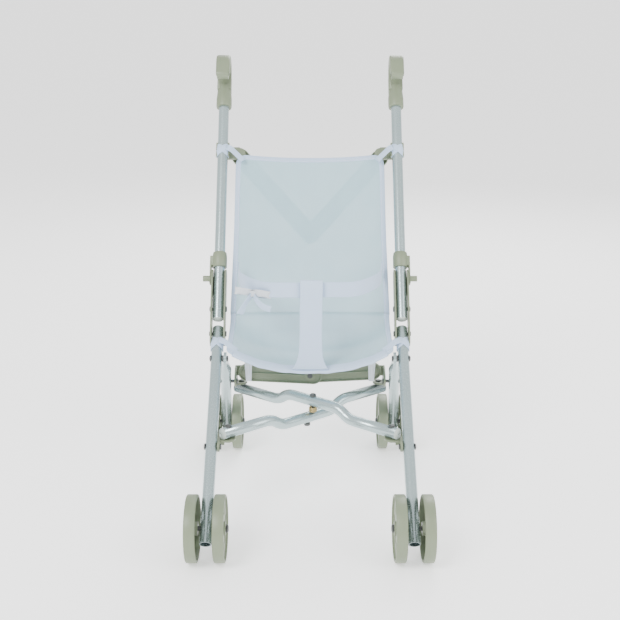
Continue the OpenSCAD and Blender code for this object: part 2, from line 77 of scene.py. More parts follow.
# %% Places taken from the frame
MM = 0.001
LEG_SLOPE = math.radians(38)
HANDLE_SLOPE = math.radians(55)
leg_low, leg_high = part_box("right_front_leg")
handle_low, handle_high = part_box("right_handle_tube")
SIDE_X = (leg_low.x + leg_high.x) / 2
TUBE_R = (leg_high.x - leg_low.x) / 2
HANDLE_LEN = (handle_high.z - handle_low.z - 2 * TUBE_R * math.cos(HANDLE_SLOPE)) / math.sin(HANDLE_SLOPE)
HANDLE_FOOT = Vector((0, handle_low.y + TUBE_R * math.sin(HANDLE_SLOPE),
                      handle_low.z + TUBE_R * math.cos(HANDLE_SLOPE)))
UP_HANDLE = Vector((0, math.cos(HANDLE_SLOPE), math.sin(HANDLE_SLOPE)))
BEHIND_HANDLE = Vector((0, math.sin(HANDLE_SLOPE), -math.cos(HANDLE_SLOPE)))
UP_LEG = Vector((0, math.cos(LEG_SLOPE), math.sin(LEG_SLOPE)))
BEHIND_LEG = Vector((0, math.sin(LEG_SLOPE), -math.cos(LEG_SLOPE)))
front_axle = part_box("right_front_axle")
LEG_FOOT = Vector((0, (front_axle[0].y + front_axle[1].y) / 2, (front_axle[0].z + front_axle[1].z) / 2))


def on_handle(x, up, behind=0.0):
    """The point at x across, up along the handle tube from its foot, and behind its axis."""
    return Vector((x, 0, 0)) + HANDLE_FOOT + UP_HANDLE * up + BEHIND_HANDLE * behind


def on_leg(x, up, behind=0.0):
    """The same on a front leg, from its axle."""
    return Vector((x, 0, 0)) + LEG_FOOT + UP_LEG * up + BEHIND_LEG * behind


print("tube radius %.4f, side frames at %.3f, handle length %.3f" % (TUBE_R, SIDE_X, HANDLE_LEN))

# %% [markdown]
# ## The camera and the light
# The stroller stands on a white sweep under soft light. The camera looks slightly down from the front.

# %% Camera, floor and lights
camera_data = bpy.data.cameras.new("camera")
camera_data.sensor_width = 36
camera_data.lens = 61
camera_data.shift_y = 0.003
camera = bpy.data.objects.new("camera", camera_data)
camera.location = (0, -0.997, 0.583)
camera.rotation_euler = (math.radians(72.9), 0, 0)
bpy.context.scene.collection.objects.link(camera)
bpy.context.scene.camera = camera


def area_light(name, place, target, size, power):
    light = bpy.data.lights.new(name, "AREA")
    light.shape = "DISK"
    light.size = size
    light.energy = power
    holder = bpy.data.objects.new(name, light)
    holder.location = place
    holder.rotation_euler = (Vector(target) - Vector(place)).to_track_quat("-Z", "Y").to_euler()
    bpy.context.scene.collection.objects.link(holder)


area_light("key", (-0.9, -1.1, 1.5), (0, 0.15, 0.25), 0.9, 34)
area_light("fill", (1.2, -0.7, 0.9), (0, 0.15, 0.2), 1.0, 12)
area_light("back", (0.3, 1.5, 1.2), (0, 0.2, 0.3), 1.0, 20)

world = bpy.data.worlds.new("studio")
world.use_nodes = True
world.node_tree.nodes["Background"].inputs["Color"].default_value = (1, 1, 1, 1)
world.node_tree.nodes["Background"].inputs["Strength"].default_value = 1.35
bpy.context.scene.world = world


def floor():
    mesh = bpy.data.meshes.new("floor")
    mesh.from_pydata([(-90, -90, 0), (90, -90, 0), (90, 180, 0), (-90, 180, 0)], [], [(0, 1, 2, 3)])
    sweep = bpy.data.objects.new("floor", mesh)
    bpy.context.scene.collection.objects.link(sweep)
    paint = bpy.data.materials.new("floor_white")
    paint.use_nodes = True
    paint.node_tree.nodes["Principled BSDF"].inputs["Base Color"].default_value = (0.97, 0.97, 0.97, 1)
    paint.node_tree.nodes["Principled BSDF"].inputs["Roughness"].default_value = 0.9
    paint.node_tree.nodes["Principled BSDF"].inputs["Emission Color"].default_value = (1, 1, 1, 1)
    paint.node_tree.nodes["Principled BSDF"].inputs["Emission Strength"].default_value = 0.7
    mesh.materials.append(paint)


floor()
print("camera and", len(bpy.data.lights), "lights")

# %% [markdown]
# ## Effects that several finishes share
# Three small node groups are built once and used in every finish with its own numbers.
# "Fine grain" is the tiny unevenness of moulded plastic and sprayed paint. "Handling" is the faint
# cloudiness that hands leave. "Plain weave" draws crossing threads from a UV map in metres, so the
# threads keep their real pitch on every tape and panel.

# %% Node group helpers
def new_group(name, inputs, outputs):
    group = bpy.data.node_groups.new(name, "ShaderNodeTree")
    for label, kind, value in inputs:
        socket = group.interface.new_socket(label, in_out="INPUT", socket_type=kind)
        if value is not None:
            socket.default_value = value
    for label, kind in outputs:
        group.interface.new_socket(label, in_out="OUTPUT", socket_type=kind)
    source = group.nodes.new("NodeGroupInput")
    sink = group.nodes.new("NodeGroupOutput")
    return group, source, sink


def math_node(tree, operation, first, second=None):
    node = tree.nodes.new("ShaderNodeMath")
    node.operation = operation
    for index, value in enumerate((first, second)):
        if value is None:
            continue
        if isinstance(value, (int, float)):
            node.inputs[index].default_value = value
        else:
            tree.links.new(value, node.inputs[index])
    return node.outputs[0]


# %% Fine grain: roughness and height that vary a little
def build_grain():
    group, source, sink = new_group(
        "fine_grain",
        [("Vector", "NodeSocketVector", None), ("Grains per metre", "NodeSocketFloat", 900.0),
         ("Roughness", "NodeSocketFloat", 0.4), ("Variation", "NodeSocketFloat", 0.1)],
        [("Roughness", "NodeSocketFloat"), ("Height", "NodeSocketFloat")])
    noise = group.nodes.new("ShaderNodeTexNoise")
    noise.inputs["Detail"].default_value = 3
    group.links.new(source.outputs["Vector"], noise.inputs["Vector"])
    group.links.new(source.outputs["Grains per metre"], noise.inputs["Scale"])
    spread = math_node(group, "MULTIPLY", math_node(group, "SUBTRACT", noise.outputs["Fac"], 0.5),
                       source.outputs["Variation"])
    group.links.new(math_node(group, "ADD", spread, source.outputs["Roughness"]), sink.inputs["Roughness"])
    group.links.new(noise.outputs["Fac"], sink.inputs["Height"])
    return group


# %% Handling: a slow change of colour over a surface
def build_handling():
    group, source, sink = new_group(
        "handling",
        [("Vector", "NodeSocketVector", None), ("Color", "NodeSocketColor", (0.5, 0.5, 0.5, 1)),
         ("Deeper", "NodeSocketColor", (0.4, 0.4, 0.4, 1)), ("Amount", "NodeSocketFloat", 0.5)],
        [("Color", "NodeSocketColor")])
    noise = group.nodes.new("ShaderNodeTexNoise")
    noise.inputs["Scale"].default_value = 28
    noise.inputs["Detail"].default_value = 4
    group.links.new(source.outputs["Vector"], noise.inputs["Vector"])
    mix = group.nodes.new("ShaderNodeMix")
    mix.data_type = "RGBA"
    group.links.new(math_node(group, "MULTIPLY", noise.outputs["Fac"], source.outputs["Amount"]),
                    mix.inputs["Factor"])
    group.links.new(source.outputs["Color"], mix.inputs["A"])
    group.links.new(source.outputs["Deeper"], mix.inputs["B"])
    group.links.new(mix.outputs["Result"], sink.inputs["Color"])
    return group


# %% Plain weave: thread height, and how open the cloth is between threads
def build_weave():
    group, source, sink = new_group(
        "plain_weave",
        [("UV", "NodeSocketVector", None), ("Warp pitch", "NodeSocketFloat", 0.0014),
         ("Weft pitch", "NodeSocketFloat", 0.0014)],
        [("Height", "NodeSocketFloat"), ("Gap", "NodeSocketFloat")])
    split = group.nodes.new("ShaderNodeSeparateXYZ")
    group.links.new(source.outputs["UV"], split.inputs[0])
    threads = []
    for axis, pitch in (("X", "Warp pitch"), ("Y", "Weft pitch")):
        turn = math_node(group, "MULTIPLY", split.outputs[axis], 2 * math.pi)
        wave = math_node(group, "COSINE", math_node(group, "DIVIDE", turn, source.outputs[pitch]))
        threads.append(math_node(group, "MULTIPLY", math_node(group, "ADD", wave, 1.0), 0.5))
    height = math_node(group, "MAXIMUM", threads[0], threads[1])
    group.links.new(height, sink.inputs["Height"])
    openness = math_node(group, "MULTIPLY", math_node(group, "SUBTRACT", 1.0, threads[0]),
                         math_node(group, "SUBTRACT", 1.0, threads[1]))
    group.links.new(openness, sink.inputs["Gap"])
    return group


GRAIN = build_grain()
HANDLING = build_handling()
WEAVE = build_weave()
print("shared effects:", [g.name for g in bpy.data.node_groups])

# %% [markdown]
# ## Finishes
# Hard surfaces take their pattern from object coordinates, because every object sits at the
# origin and its place is in its mesh. Cloth takes its weave from the UV map that is made with it.
# The shader's own constants, such as Metallic or Sheen, are set directly on the Principled node.

# %% Finish for hard surfaces
def tone(red, green, blue):
    """A colour given in 0..255 screen values, as the linear colour that shaders use."""
    linear = [((c / 255 + 0.055) / 1.055) ** 2.4 if c > 10 else c / 255 / 12.92 for c in (red, green, blue)]
    return (*linear, 1)


def place_group(tree, group, **values):
    node = tree.nodes.new("ShaderNodeGroup")
    node.node_tree = group
    for label, value in values.items():
        node.inputs[label.replace("_", " ")].default_value = value
    return node


def hard_finish(name, color, deeper, roughness, grain, bump, metallic=0.0, coat=0.0, amount=0.5):
    material = bpy.data.materials.new(name)
    material.use_nodes = True
    tree = material.node_tree
    shader = tree.nodes["Principled BSDF"]
    shader.inputs["Metallic"].default_value = metallic
    shader.inputs["Coat Weight"].default_value = coat
    where = tree.nodes.new("ShaderNodeTexCoord").outputs["Object"]
    cloud = place_group(tree, HANDLING, Color=color, Deeper=deeper, Amount=amount)
    fine = place_group(tree, GRAIN, Grains_per_metre=grain, Roughness=roughness, Variation=0.12)
    for node in (cloud, fine):
        tree.links.new(where, node.inputs["Vector"])
    relief = tree.nodes.new("ShaderNodeBump")
    relief.inputs["Strength"].default_value = bump
    relief.inputs["Distance"].default_value = 0.0002
    tree.links.new(fine.outputs["Height"], relief.inputs["Height"])
    tree.links.new(cloud.outputs["Color"], shader.inputs["Base Color"])
    tree.links.new(fine.outputs["Roughness"], shader.inputs["Roughness"])
    tree.links.new(relief.outputs["Normal"], shader.inputs["Normal"])
    return material


SILVER_TUBE = hard_finish("silver_tube", tone(172, 188, 190), tone(138, 157, 158), 0.26, 1400, 0.12,
                          metallic=0.75, coat=0.25)
SAGE_PLASTIC = hard_finish("sage_plastic", tone(121, 131, 107), tone(104, 114, 92), 0.42, 1100, 0.16)
DARK_STEEL = hard_finish("dark_steel", tone(96, 98, 97), tone(66, 69, 68), 0.36, 1600, 0.2, metallic=0.9)
GREY_PLUG = hard_finish("grey_plug", tone(176, 186, 180), tone(154, 166, 160), 0.38, 900, 0.1)
SPRING_WIRE = hard_finish("spring_wire", tone(196, 178, 128), tone(150, 128, 84), 0.28, 1800, 0.15,
                          metallic=0.95)

# %% Finish for woven cloth
def cloth_finish(name, color, deeper, pitch, gap_alpha, sheen, bump):
    material = bpy.data.materials.new(name)
    material.use_nodes = True
    tree = material.node_tree
    shader = tree.nodes["Principled BSDF"]
    shader.inputs["Sheen Weight"].default_value = sheen
    shader.inputs["Sheen Roughness"].default_value = 0.45
    shader.inputs["Roughness"].default_value = 0.8
    uv = tree.nodes.new("ShaderNodeUVMap")
    uv.uv_map = "cloth"
    weave = place_group(tree, WEAVE, Warp_pitch=pitch[0], Weft_pitch=pitch[1])
    tree.links.new(uv.outputs["UV"], weave.inputs["UV"])
    where = tree.nodes.new("ShaderNodeTexCoord").outputs["Object"]
    cloud = place_group(tree, HANDLING, Color=color, Deeper=deeper, Amount=0.55)
    tree.links.new(where, cloud.inputs["Vector"])
    # Painted shade: the gaps between the threads are darkened towards a cool grey.
    gap_painted_shade = tree.nodes.new("ShaderNodeMix")
    gap_painted_shade.data_type = "RGBA"
    gap_painted_shade.blend_type = "MULTIPLY"
    gap_painted_shade.inputs["B"].default_value = (0.78, 0.82, 0.85, 1)
    tree.links.new(math_node(tree, "MULTIPLY", weave.outputs["Gap"], 0.8), gap_painted_shade.inputs["Factor"])
    tree.links.new(cloud.outputs["Color"], gap_painted_shade.inputs["A"])
    tree.links.new(gap_painted_shade.outputs["Result"], shader.inputs["Base Color"])
    if gap_alpha < 1:
        clear = math_node(tree, "MULTIPLY", weave.outputs["Gap"], 1 - gap_alpha)
        tree.links.new(math_node(tree, "SUBTRACT", 1.0, clear), shader.inputs["Alpha"])
    relief = tree.nodes.new("ShaderNodeBump")
    relief.inputs["Strength"].default_value = bump
    relief.inputs["Distance"].default_value = 0.0003
    tree.links.new(weave.outputs["Height"], relief.inputs["Height"])
    tree.links.new(relief.outputs["Normal"], shader.inputs["Normal"])
    return material


MESH_CLOTH = cloth_finish("mesh_cloth", tone(184, 215, 224), tone(160, 198, 212), (0.0013, 0.0013), 0.25,
                          0.15, 0.5)
BLUE_TAPE = cloth_finish("blue_tape", tone(192, 211, 234), tone(168, 190, 219), (0.0007, 0.0011), 1,
                         0.35, 0.4)
WHITE_TAPE = cloth_finish("white_tape", tone(212, 217, 222), tone(192, 199, 207), (0.0008, 0.0011), 1,
                          0.3, 0.4)
STITCH_THREAD = hard_finish("stitch_thread", tone(228, 234, 246), tone(208, 218, 236), 0.7, 3000, 0.3)
print("finishes:", [m.name for m in bpy.data.materials])

# %% [markdown]
# ## Turning the working parts into finished ones
# Real mouldings have small round edges that catch the light, while the working parts have sharp
# ones. A copy of each plastic part is merged, its flat faces are joined, and a bevel rounds the
# sharp edges only. The copy then stands for the working part. Straight tubes, rivets and axles
# are already the right shape, so they only take a finish.

# %% Rounded copies of the plastic parts
def softened(node, width, material, segments=3):
    """A copy of a working part with its sharp edges rounded by width."""
    mesh = nodes[node].data.copy()
    mesh.name = node + "_moulded"
    work = bmesh.new()
    work.from_mesh(mesh)
    bmesh.ops.remove_doubles(work, verts=work.verts, dist=0.00002)
    bmesh.ops.dissolve_limit(work, angle_limit=math.radians(2), verts=work.verts, edges=work.edges,
                             delimit=set())
    for face in work.faces:
        face.smooth = True
    work.to_mesh(mesh)
    work.free()
    mesh.materials.clear()
    mesh.materials.append(material)
    piece = bpy.data.objects.new(node + "_moulded", mesh)
    bpy.context.scene.collection.objects.link(piece)
    bevel = piece.modifiers.new("round", "BEVEL")
    bevel.width = width
    bevel.segments = segments
    bevel.limit_method = "ANGLE"
    bevel.angle_limit = math.radians(38)
    bevel.harden_normals = True
    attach(piece, body_of_node[node])
    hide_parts(node)
    return piece


body_of_node = {n: b for b, members in frame["record"]["behaviour"]["bodies"].items() for n in members}
slot_of_node = {s["node"]: s["material_slot"] for s in frame["record"]["subparts"]}
ROUNDED = {"grip": 1.0, "fold_channel": 0.4, "lock_ring": 0.5, "brace_bracket": 0.6, "upper_arm": 0.4,
           "lower_arm": 0.4, "front_bracket": 0.4, "rear_bracket": 0.4}
rounded = [softened(f"{side}_{part}", width * MM, SAGE_PLASTIC)
           for side in ("left", "right") for part, width in ROUNDED.items()]
rounded += [softened(n, 0.5 * MM, SAGE_PLASTIC) for n in sorted(nodes) if "_wheel_" in n]
print("rounded parts:", len(rounded))

# %% Finishes for the parts that keep their shape
FINISH_OF_SLOT = {"tube_metal": SILVER_TUBE, "sage_plastic": SAGE_PLASTIC, "dark_steel": DARK_STEEL,
                  "grey_plug": GREY_PLUG, "spring_brass": SPRING_WIRE, "mesh_fabric": MESH_CLOTH,
                  "strap_fabric": BLUE_TAPE, "tie_fabric": WHITE_TAPE}
for name, part in nodes.items():
    for index in range(max(1, len(part.material_slots))):
        if not part.material_slots:
            part.data.materials.append(FINISH_OF_SLOT[slot_of_node[name]])
        part.material_slots[index].material = FINISH_OF_SLOT[slot_of_node[name]]
print("finished parts:", len(nodes))

# %% [markdown]
# ## The crossed tubes
# Each cross tube is a straight tube that was bent four times, so that the two can pass without
# flattening each other. Its shape follows a rule: level ends, an S of two arcs up, a level middle
# and an S down. Geometry Nodes are a good fit, because a sweep along a line is one node and the
# tube's radius stays a named input.

# %% A node tree that sweeps a hollow tube along a line
def input_id(tree, label):
    return next(i.identifier for i in tree.interface.items_tree if i.name == label and i.in_out == "INPUT")


def sweep_tree():
    tree = bpy.data.node_groups.new("swept_tube", "GeometryNodeTree")
    tree.interface.new_socket("Geometry", in_out="INPUT", socket_type="NodeSocketGeometry")
    radius = tree.interface.new_socket("Tube radius", in_out="INPUT", socket_type="NodeSocketFloat")
    radius.default_value = 0.0065
    sides = tree.interface.new_socket("Sides", in_out="INPUT", socket_type="NodeSocketInt")
    sides.default_value = 40
    tree.interface.new_socket("Finish", in_out="INPUT", socket_type="NodeSocketMaterial")
    tree.interface.new_socket("Geometry", in_out="OUTPUT", socket_type="NodeSocketGeometry")
    source = tree.nodes.new("NodeGroupInput")
    sink = tree.nodes.new("NodeGroupOutput")
    circle = tree.nodes.new("GeometryNodeCurvePrimitiveCircle")
    sweep = tree.nodes.new("GeometryNodeCurveToMesh")
    smooth = tree.nodes.new("GeometryNodeSetShadeSmooth")
    real = tree.nodes.new("GeometryNodeRealizeInstances")
    paint = tree.nodes.new("GeometryNodeSetMaterial")
    link = tree.links.new
    link(source.outputs["Tube radius"], circle.inputs["Radius"])
    link(source.outputs["Sides"], circle.inputs["Resolution"])
    link(source.outputs["Geometry"], sweep.inputs["Curve"])
    link(circle.outputs["Curve"], sweep.inputs["Profile Curve"])
    link(sweep.outputs["Mesh"], smooth.inputs["Geometry"])
    link(smooth.outputs["Geometry"], real.inputs["Geometry"])
    link(real.outputs["Geometry"], paint.inputs["Geometry"])
    link(source.outputs["Finish"], paint.inputs["Material"])
    link(paint.outputs["Geometry"], sink.inputs["Geometry"])
    return tree


# %% Grow a plain mesh from a node tree
def line_object(name, lines):
    curve = bpy.data.curves.new(name, "CURVE")
    curve.dimensions = "3D"
    for points in lines:
        spline = curve.splines.new("POLY")
        spline.points.add(len(points) - 1)
        for slot, point in zip(spline.points, points):
            slot.co = (*point, 1)
    holder = bpy.data.objects.new(name, curve)
    bpy.context.scene.collection.objects.link(holder)
    return holder


def grown(name, holder, tree, **values):
    """The mesh that the tree makes from the holder, as a new object. The holder is removed."""
    modifier = holder.modifiers.new("grow", "NODES")
    modifier.node_group = tree
    for label, value in values.items():
        modifier[input_id(tree, label.replace("_", " "))] = value
    bpy.context.view_layer.update()
    depsgraph = bpy.context.evaluated_depsgraph_get()
    mesh = bpy.data.meshes.new_from_object(holder.evaluated_get(depsgraph), depsgraph=depsgraph)
    mesh.name = name
    bpy.data.objects.remove(holder)
    piece = bpy.data.objects.new(name, mesh)
    bpy.context.scene.collection.objects.link(piece)
    return piece


# %% The line of a cross tube
CROSS_RISE = 10.5 * MM
BEND_R = 26 * MM
MIDDLE_RUN = 58 * MM
BEND_STEPS = 10


def cross_line(pin_front, pin_rear, lift):
    """Points along a cross tube, from beyond its front pin to beyond its rear pin."""
    run = pin_rear - pin_front
    length = run.length
    ahead = run.normalized()
    turn = math.acos(1 - CROSS_RISE / (2 * BEND_R))
    bend_run = 2 * BEND_R * math.sin(turn)
    end_run = (length - MIDDLE_RUN - 2 * bend_run) / 2
    half = [(-7 * MM, 0)]
    half += [(end_run + BEND_R * math.sin(turn * i / BEND_STEPS),
              BEND_R * (1 - math.cos(turn * i / BEND_STEPS))) for i in range(BEND_STEPS + 1)]
    half += [(end_run + bend_run - BEND_R * math.sin(turn * i / BEND_STEPS),
              CROSS_RISE - BEND_R * (1 - math.cos(turn * i / BEND_STEPS)))
             for i in range(BEND_STEPS - 1, -1, -1)]
    whole = half + [(length - run_x, rise) for run_x, rise in reversed(half)]
    return [pin_front + ahead * run_x + Vector((0, 0, lift * rise)) for run_x, rise in whole]


def middle(node):
    low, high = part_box(node)
    return (low + high) / 2


def pin_place(node, z):
    spot = middle(node)
    return Vector((spot.x, spot.y, z))


SWEEP = sweep_tree()
TUBE_END_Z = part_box("cross_tube_upper")[0].z + TUBE_R
REAR_PIN_X, REAR_PIN_Y = 85 * MM, 229 * MM


def cross_tube(name, node, side, lift, body):
    front = pin_place(("left" if side < 0 else "right") + "_front_pin", TUBE_END_Z)
    rear = Vector((-side * REAR_PIN_X, REAR_PIN_Y, TUBE_END_Z))
    line = cross_line(front, rear, lift)
    tube = grown(name, line_object(name + "_line", [line]), SWEEP, Tube_radius=TUBE_R, Sides=40,
                 Finish=SILVER_TUBE)
    wall = tube.modifiers.new("wall", "SOLIDIFY")
    wall.thickness = 1.0 * MM
    wall.offset = -1
    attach(tube, body)
    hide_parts(node)
    print(name, "bends over %.0f mm" % ((rear - front).length / MM))
    return tube


cross_tube("upper_cross_tube", "cross_tube_upper", 1, 1, "upper_cross_tube")
cross_tube("lower_cross_tube", "cross_tube_lower", -1, -1, "lower_cross_tube")

# %% [markdown]
# ## Cloth helpers
# The sling is woven sheet with bound edges, and everything that ties it on is flat tape. Two
# helpers make them: one lays a grid over a surface that a function describes, and one sweeps a
# soft-edged tape along a line. Both write a UV map in metres for the weave.

# %% A sheet over a surface
def mesh_object(name, points, faces, uvs, material):
    mesh = bpy.data.meshes.new(name)
    mesh.from_pydata(points, [], faces)
    layer = mesh.uv_layers.new(name="cloth")
    for loop in mesh.loops:
        layer.data[loop.index].uv = uvs[loop.vertex_index]
    for face in mesh.polygons:
        face.use_smooth = True
    mesh.materials.append(material)
    piece = bpy.data.objects.new(name, mesh)
    bpy.context.scene.collection.objects.link(piece)
    return piece


def sheet_over(name, surface, across, along, material):
    """A grid over surface(u, v), u from -1 to 1 across and v from 0 to 1 along."""
    points = [surface(-1 + 2 * i / across, j / along) for j in range(along + 1) for i in range(across + 1)]
    row = across + 1
    faces = [(j * row + i, j * row + i + 1, (j + 1) * row + i + 1, (j + 1) * row + i)
             for j in range(along) for i in range(across)]
    uvs = []
    for j in range(along + 1):
        for i in range(row):
            here = points[j * row + i]
            before = (j - 1) * row + i
            travelled = 0.0 if j == 0 else uvs[before][1] + (here - points[before]).length
            uvs.append((here.x, travelled))
    return mesh_object(name, points, faces, uvs, material)


# %% A tape along a line
def smooth_line(points, steps):
    """A rounded line through the points, with steps pieces between two of them."""
    padded = [points[0] * 2 - points[1], *points, points[-1] * 2 - points[-2]]
    line = []
    for a, b, c, d in zip(padded, padded[1:], padded[2:], padded[3:]):
        for i in range(steps):
            t = i / steps
            line.append(0.5 * ((2 * b) + (c - a) * t + (2 * a - 5 * b + 4 * c - d) * t * t
                               + (3 * b - a - 3 * c + d) * t * t * t))
    return line + [points[-1]]


def tape(name, points, flat_sides, width, thickness, material, steps=8, rim=12):
    """A soft-edged tape. flat_sides are the directions of its width at the points."""
    line = smooth_line(points, steps)
    sides = smooth_line(flat_sides, steps)
    widths = smooth_line([Vector((w, 0, 0)) for w in width], steps) if isinstance(width, list) else None
    verts, faces, uvs = [], [], []
    travelled = 0.0
    for index, (spot, side) in enumerate(zip(line, sides)):
        ahead = (line[min(index + 1, len(line) - 1)] - line[max(index - 1, 0)]).normalized()
        side = (side - ahead * side.dot(ahead)).normalized()
        up = side.cross(ahead)
        if index:
            travelled += (spot - line[index - 1]).length
        half = (widths[index].x if widths else width) / 2
        for k in range(rim):
            a = 2 * math.pi * k / rim
            sideways = math.copysign(abs(math.cos(a)) ** 0.35, math.cos(a)) * half
            lift = math.copysign(abs(math.sin(a)) ** 0.8, math.sin(a)) * thickness / 2
            verts.append(spot + side * sideways + up * lift)
            uvs.append((sideways, travelled))
    rings = len(line)
    for r in range(rings - 1):
        for k in range(rim):
            n = (k + 1) % rim
            faces.append((r * rim + k, (r + 1) * rim + k, (r + 1) * rim + n, r * rim + n))
    faces.append(tuple(range(rim)))
    faces.append(tuple((rings - 1) * rim + k for k in reversed(range(rim))))
    piece = mesh_object(name, verts, faces, uvs, material)
    work = bmesh.new()
    work.from_mesh(piece.data)
    bmesh.ops.recalc_face_normals(work, faces=work.faces)
    work.to_mesh(piece.data)
    work.free()
    return piece


def tape_length(points, steps=8):
    line = smooth_line(points, steps)
    return sum((b - a).length for a, b in zip(line, line[1:]))


# %% [markdown]
# ## The sling seat
# The seat is one flat cloth that hangs between the two side frames. Its side edges run straight from the top
# corners to the front corners, and between them the cloth sinks into a shallow bucket. So two profiles are
# enough: one at the edge and one at the middle, and each point across blends between them. The seat and the
# back are two pieces that meet at the handle hinge.

# %% Profiles of the sling, as (Y, Z) in metres
def along_profile(profile, v):
    """The point a share v of the way along a rounded line of (Y, Z) points."""
    line = smooth_line([Vector((0, y * MM, z * MM)) for y, z in profile], 12)
    lengths = [0.0]
    for a, b in zip(line, line[1:]):
        lengths.append(lengths[-1] + (b - a).length)
    target = v * lengths[-1]
    for a, b, la, lb in zip(line, line[1:], lengths, lengths[1:]):
        if lb >= target:
            return a.lerp(b, (target - la) / (lb - la) if lb > la else 0)
    return line[-1]


SEAT_MIDDLE = [(159, 153.5), (166, 157), (190, 158), (212, 162.5), (222.5, 176), (225, 192), (227, 206)]
SEAT_EDGE = [(166, 178), (172, 180), (188, 185), (202, 190), (211, 195), (217, 200), (221, 207)]
BACK_MIDDLE = [(227, 203), (238, 223), (258, 258), (291, 315), (331, 380)]
BACK_EDGE = [(220, 203), (236, 226), (258, 261), (292, 315), (333, 381)]
HALF_FRONT, HALF_HINGE, HALF_TOP = 97 * MM, 95 * MM, 92 * MM
CLOTH_T = 0.8 * MM


def blended(middle_profile, edge_profile, half_width):
    def surface(u, v):
        pull = abs(u) ** 2.4
        spot = along_profile(middle_profile, v).lerp(along_profile(edge_profile, v), pull)
        return Vector((u * half_width(v), spot.y, spot.z))
    return surface


def seat_half(v):
    return HALF_FRONT + (HALF_HINGE - HALF_FRONT) * v


CORNER = 0.07


def back_half(v):
    """The back narrows evenly, and its top corners are round."""
    straight = HALF_HINGE + (HALF_TOP - HALF_HINGE) * v
    past = max(0.0, (v - (1 - CORNER)) / CORNER)
    return straight - 9 * MM * (1 - math.sqrt(max(0.0, 1 - past * past)))


seat_surface = blended(SEAT_MIDDLE, SEAT_EDGE, seat_half)
smooth_back = blended(BACK_MIDDLE, BACK_EDGE, back_half)


def back_surface(u, v):
    """The back with the slack folds that run down from its tied corners."""
    spot = smooth_back(u, v)
    folds = math.sin(9 * u + 2.2 * v) * math.cos(4 * u) * 0.7 * MM * (1 - u * u) * math.sin(math.pi * v)
    dip = 3.0 * MM * (1 - u * u) * v ** 6
    return spot + BEHIND_HANDLE * folds - UP_HANDLE * dip


seat_sheet = sheet_over("seat_sheet", seat_surface, 56, 40, MESH_CLOTH)
back_sheet = sheet_over("back_sheet", back_surface, 56, 64, MESH_CLOTH)
for cloth in (seat_sheet, back_sheet):
    skin = cloth.modifiers.new("cloth", "SOLIDIFY")
    skin.thickness = CLOTH_T
    skin.offset = 0


def flat_size(surface, steps=60):
    """Width across the middle of the sheet and its length down the middle line."""
    wide = [surface(-1 + 2 * i / steps, 0.5) for i in range(steps + 1)]
    tall = [surface(0, i / steps) for i in range(steps + 1)]
    return tuple(round(sum((b - a).length for a, b in zip(line, line[1:])), 4) for line in (wide, tall))


SEAT_FLAT = flat_size(seat_surface)
BACK_FLAT = flat_size(back_surface)
print("seat cut", SEAT_FLAT, "back cut", BACK_FLAT)

# %% [markdown]
# ### Bound edges
# The raw edges of the cloth are folded into a tape. A tape that is swept along the sheet's own
# border keeps to it exactly, whatever the sheet's shape is.

# %% Binding tape
BIND_W = 6.5 * MM
BIND_T = 1.7 * MM


def border(surface, path, inset):
    """Points just inside a sheet's border. path is a list of (u, v)."""
    points, sides = [], []
    for u, v in path:
        spot = surface(u, v)
        inner = surface(u * (1 - inset), 0.5 + (v - 0.5) * (1 - inset))
        points.append(spot)
        sides.append((inner - spot).normalized())
    return points, sides


def bind(name, surface, path):
    points, sides = border(surface, path, 0.08)
    points = [p + s * BIND_W * 0.35 for p, s in zip(points, sides)]
    piece = tape(name, points, sides, BIND_W, BIND_T, BLUE_TAPE, steps=4)
    cross_blend(piece)
    return piece


def cross_blend(piece):
    """The piece's placement is baked into its mesh."""
    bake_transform(piece)


def steps_between(a, b, count):
    return [a + (b - a) * i / count for i in range(count + 1)]


cross_blend(seat_sheet)
cross_blend(back_sheet)
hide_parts("seat_panel_left", "seat_panel_right")
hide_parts("back_panel_left", "back_panel_right")
seat_path = ([(-1, v) for v in steps_between(1, 0.02, 10)]
             + [(u, 0.0) for u in steps_between(-0.97, 0.97, 16)]
             + [(1, v) for v in steps_between(0.02, 1, 10)])
back_path = ([(-1, v) for v in steps_between(0, 0.95, 14)] + [(-1, 0.975), (-0.985, 0.995)]
             + [(u, 1.0) for u in steps_between(-0.95, 0.95, 14)] + [(0.985, 0.995), (1, 0.975)]
             + [(1, v) for v in steps_between(0.95, 0, 14)])
seat_binding = bind("seat_binding", seat_surface, seat_path)
back_binding = bind("back_binding", back_surface, back_path)

# %% [markdown]
# ### Stitches
# A row of short stitches holds the binding. They are hundreds of copies of one small shape, which
# is what Geometry Nodes do best: resample the seam to the stitch pitch and put one on each point.

